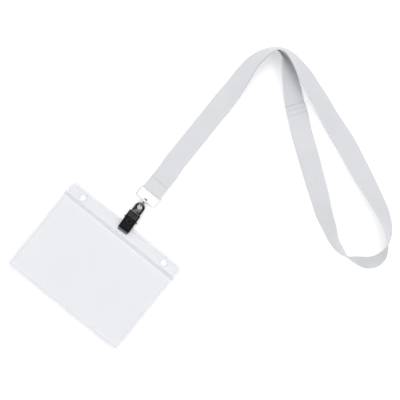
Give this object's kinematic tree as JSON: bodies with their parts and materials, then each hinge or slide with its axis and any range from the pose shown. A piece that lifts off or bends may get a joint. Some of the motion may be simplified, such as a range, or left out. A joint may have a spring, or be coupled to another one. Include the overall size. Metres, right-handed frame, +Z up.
{
  "type": "lanyard badge holder",
  "caption": "Flat woven neck strap folded round a wire ring with a swivel eye and a sprung bulldog clip that grips a clear landscape badge pouch, lying flat.",
  "frame": {"origin": "on the surface the part lies on, under the middle of the clip where its pivot is, on the flat underside of the clip's back jaw", "axes": "+Y from the pouch up to the strap, +Z up out of the surface, towards the front of the pouch, +X to the right"},
  "size_m": [0.2763, 0.3297, 0.0201],
  "materials": {
    "ribbon": "woven polyester, off-white",
    "thread": "sewing thread, off-white",
    "bright_steel": "polished plated wire",
    "dark_nickel": "polished, dark",
    "black_enamel": "semi-gloss black",
    "spring_steel": "drawn wire",
    "clear_vinyl": "clear soft vinyl, faintly blue"
  },
  "bodies": {
    "strap": {"strap": "ribbon", "ring_stitching": "thread", "lap_stitching": "thread"},
    "ring": {"ring": "bright_steel"},
    "swivel": {"swivel_eye": "dark_nickel"},
    "clip": {"tongue": "dark_nickel", "back_jaw": "black_enamel", "pivot_pin": "dark_nickel", "jaw_spring": "spring_steel"},
    "front_jaw": {"front_jaw": "black_enamel"},
    "pouch": {"pouch_back": "clear_vinyl", "pouch_front": "clear_vinyl", "header_strip": "clear_vinyl"}
  },
  "joints": [
    {"name": "ring_swing", "type": "hinge", "parent": "strap", "child": "ring", "pos_m": [0, 0.0334, 0.0034], "axis": [1, 0, 0], "range_deg": [-90, 90]},
    {"name": "swivel_spin", "type": "hinge", "parent": "ring", "child": "swivel", "pos_m": [0, 0.022, 0.0034], "axis": [0, 1, 0], "continuous": true},
    {"name": "clip_swing", "type": "hinge", "parent": "swivel", "child": "clip", "pos_m": [0, 0.0145, 0.0034], "axis": [0, 0, 1], "range_deg": [-25, 25]},
    {"name": "jaw_open", "type": "hinge", "parent": "clip", "child": "front_jaw", "pos_m": [0.00063, 0.00001, 0.0034], "axis": [-0.999, -0.0436, 0], "range_deg": [0, 25], "stiffness_Nm_per_rad": 0.1, "springref_deg": -57.3, "deforming": ["jaw_spring"]},
    {"name": "pouch_pull", "type": "slide", "parent": "clip", "child": "pouch", "axis": [0, -1, 0], "range_m": [0, 0.02]}
  ]
}
